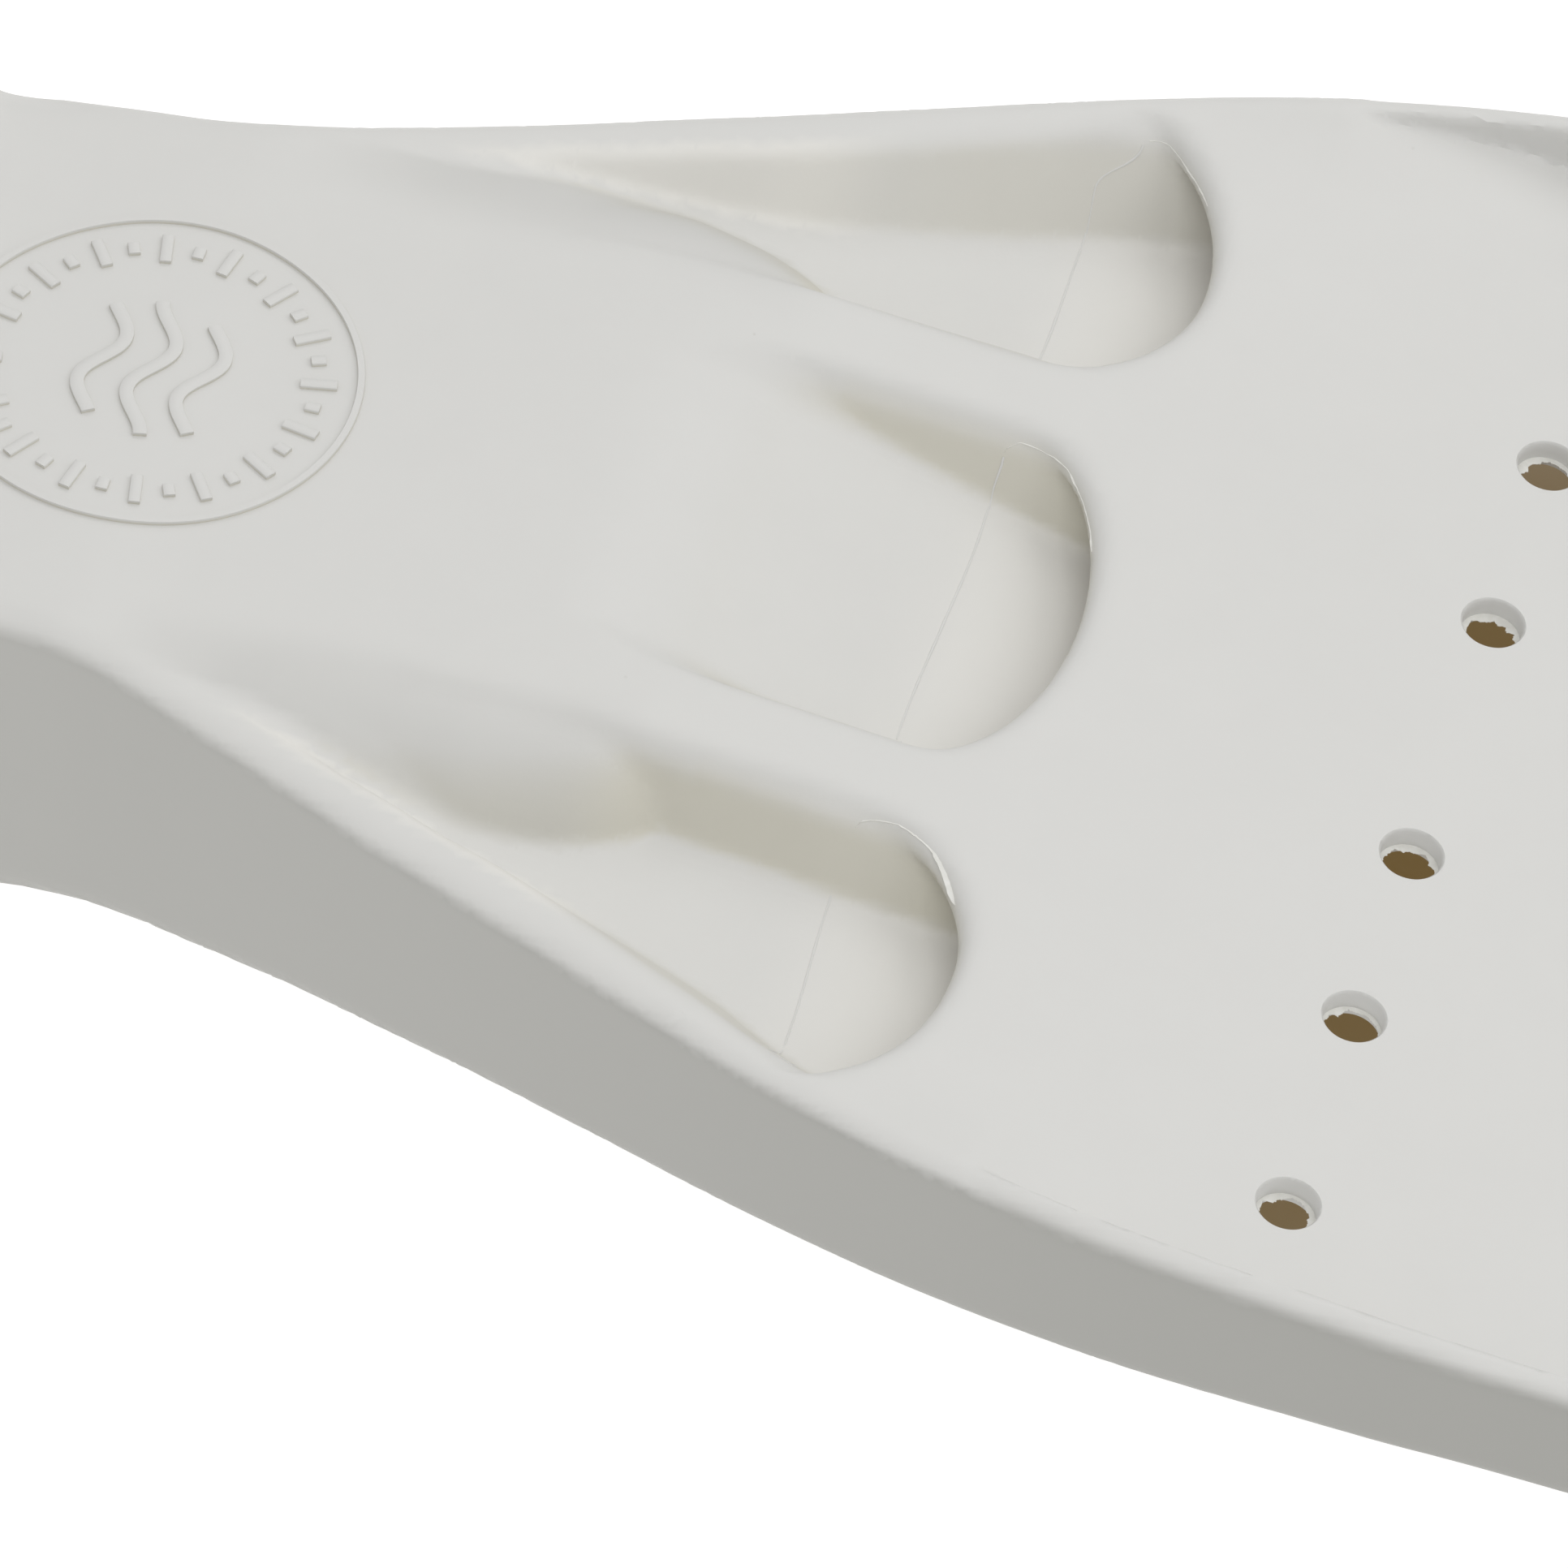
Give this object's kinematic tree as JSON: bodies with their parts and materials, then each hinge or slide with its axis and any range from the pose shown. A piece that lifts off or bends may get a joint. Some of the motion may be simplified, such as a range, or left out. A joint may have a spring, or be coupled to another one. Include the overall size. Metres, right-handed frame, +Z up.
{
  "type": "swim fin",
  "caption": "Open-heel moulded rubber diving fin with vented blade, raised side rails, foot pocket and a spring heel strap on swivelling ends.",
  "frame": {"origin": "on the floor, in the middle of the assembly's length, on its plane of symmetry", "axes": "+X from heel to blade tip, +Y to the wearer's left, +Z up"},
  "size_m": [0.662, 0.2372, 0.0977],
  "materials": {
    "grey_rubber": "satin moulded rubber",
    "black_rubber": "matte moulded rubber",
    "stainless_steel": "satin turned stainless",
    "spring_steel": "bright drawn stainless wire",
    "bushing_plastic": "matte acetal",
    "loop_webbing": "rubberised webbing"
  },
  "bodies": {
    "fin": {"fin_body": "grey_rubber", "strap_post_left": "stainless_steel", "strap_post_right": "stainless_steel", "post_washer_left": "stainless_steel", "post_washer_right": "stainless_steel", "post_screw_left": "stainless_steel", "post_screw_right": "stainless_steel"},
    "strap_ends": {"boot_bushing_left": "bushing_plastic", "boot_bushing_right": "bushing_plastic", "swivel_boot_left": "black_rubber", "swivel_boot_right": "black_rubber", "spring_anchor_left": "stainless_steel", "spring_anchor_right": "stainless_steel", "anchor_pin_left": "stainless_steel", "anchor_pin_right": "stainless_steel", "heel_spring_left": "spring_steel", "heel_spring_right": "spring_steel"},
    "heel": {"end_plug_left": "stainless_steel", "end_plug_right": "stainless_steel", "heel_pad": "black_rubber", "loop_pin": "stainless_steel"},
    "loop": {"pull_loop": "loop_webbing"}
  },
  "joints": [
    {"name": "strap_swing", "type": "hinge", "parent": "fin", "child": "strap_ends", "pos_m": [-0.17098, 0, 0.044], "axis": [0, 1, 0], "range_deg": [-22, 96]},
    {"name": "strap_stretch", "type": "slide", "parent": "strap_ends", "child": "heel", "axis": [-0.9703, 0, 0.2419], "range_m": [0, 0.045], "stiffness_N_per_m": 500, "springref_m": -0.004, "deforming": ["heel_spring_left", "heel_spring_right"]},
    {"name": "loop_flip", "type": "hinge", "parent": "heel", "child": "loop", "pos_m": [-0.32157, 0, 0.08155], "axis": [0, 1, 0], "range_deg": [0, 176]}
  ]
}
